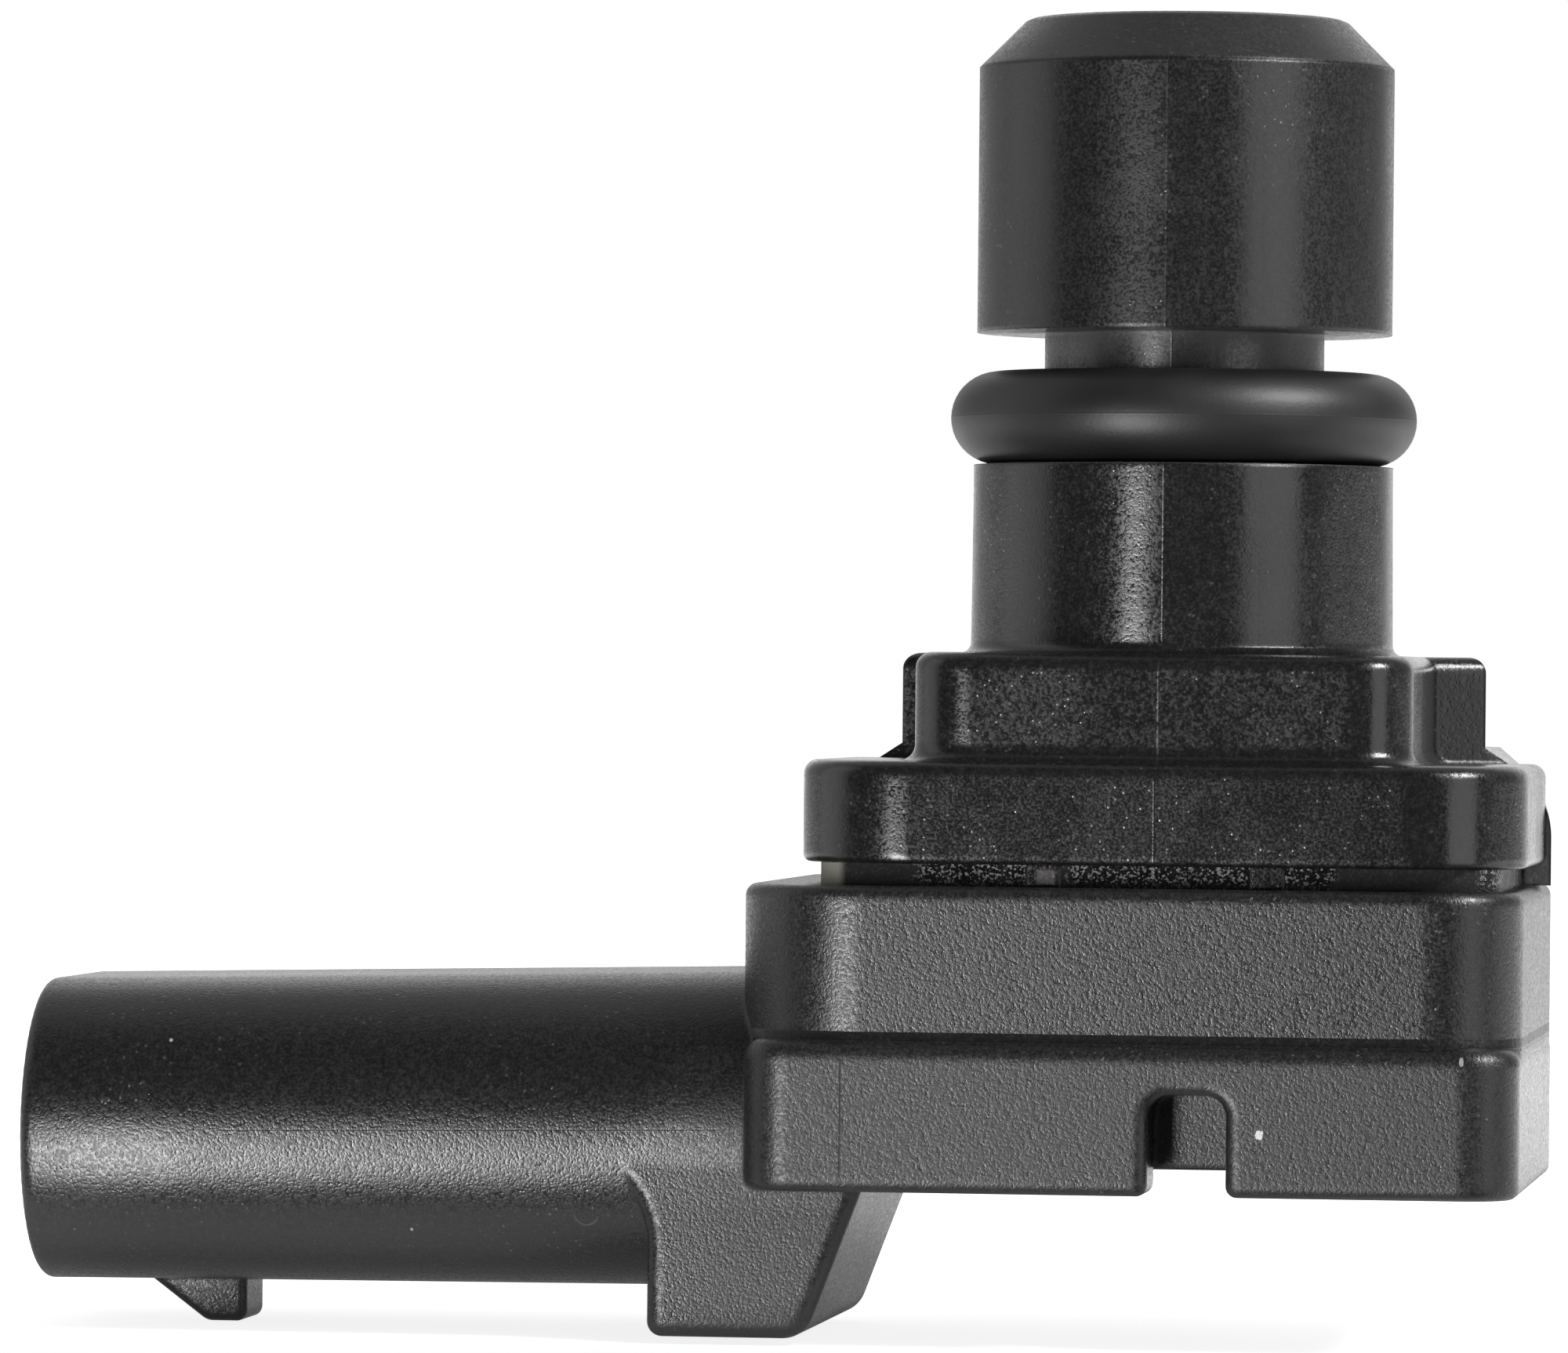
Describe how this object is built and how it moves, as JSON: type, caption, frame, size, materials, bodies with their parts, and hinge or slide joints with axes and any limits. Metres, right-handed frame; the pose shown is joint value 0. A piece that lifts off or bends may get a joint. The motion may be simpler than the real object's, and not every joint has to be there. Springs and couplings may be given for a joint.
{
  "type": "manifold absolute pressure sensor",
  "caption": "Manifold pressure sensor: ring-sealed port on a stepped flange, sleeved bolt ear, box body with a skirt, and a slot-shaped connector shroud leaving at right angles to the port.",
  "frame": {"origin": "on the axis of the pressure port, in the plane of the pad that seats on the manifold", "axes": "+Z out along the port into the manifold, -X out of the connector's mouth, +Y towards the mounting ear"},
  "size_m": [0.0422, 0.0325, 0.0373],
  "materials": {
    "filled_plastic": "glass-filled moulding, satin with a fine grain",
    "seal_rubber": "smooth satin",
    "sleeve_steel": "turned and zinc plated",
    "cured_sealant": "rough and glittery where it was squeezed out",
    "board_glue": "matt",
    "board_ceramic": "fired alumina",
    "pedestal_glass": "sawn",
    "silicon": "polished",
    "dam_plastic": "satin",
    "wire_metal": "drawn",
    "clear_gel": "soft and clear",
    "terminal_metal": "tin plated",
    "capacitor_ceramic": "fired ceramic"
  },
  "bodies": {
    "root": {"port_cover": "filled_plastic", "port_seal_ring": "seal_rubber", "mounting_sleeve": "sleeve_steel", "cover_adhesive": "cured_sealant", "housing": "filled_plastic", "substrate_adhesive": "board_glue", "circuit_substrate": "board_ceramic", "die_attach_adhesive": "board_glue", "glass_pedestal": "pedestal_glass", "pressure_die": "silicon", "signal_chip": "silicon", "gel_dam": "dam_plastic", "die_bond_wires": "wire_metal", "chip_bond_wires": "wire_metal", "terminal_bond_wires": "wire_metal", "protective_gel": "clear_gel", "terminal_supply": "terminal_metal", "terminal_ground": "terminal_metal", "terminal_signal": "terminal_metal", "filter_capacitor_1": "capacitor_ceramic", "filter_capacitor_2": "capacitor_ceramic", "filter_capacitor_3": "capacitor_ceramic", "filter_capacitor_4": "capacitor_ceramic"}
  },
  "joints": []
}
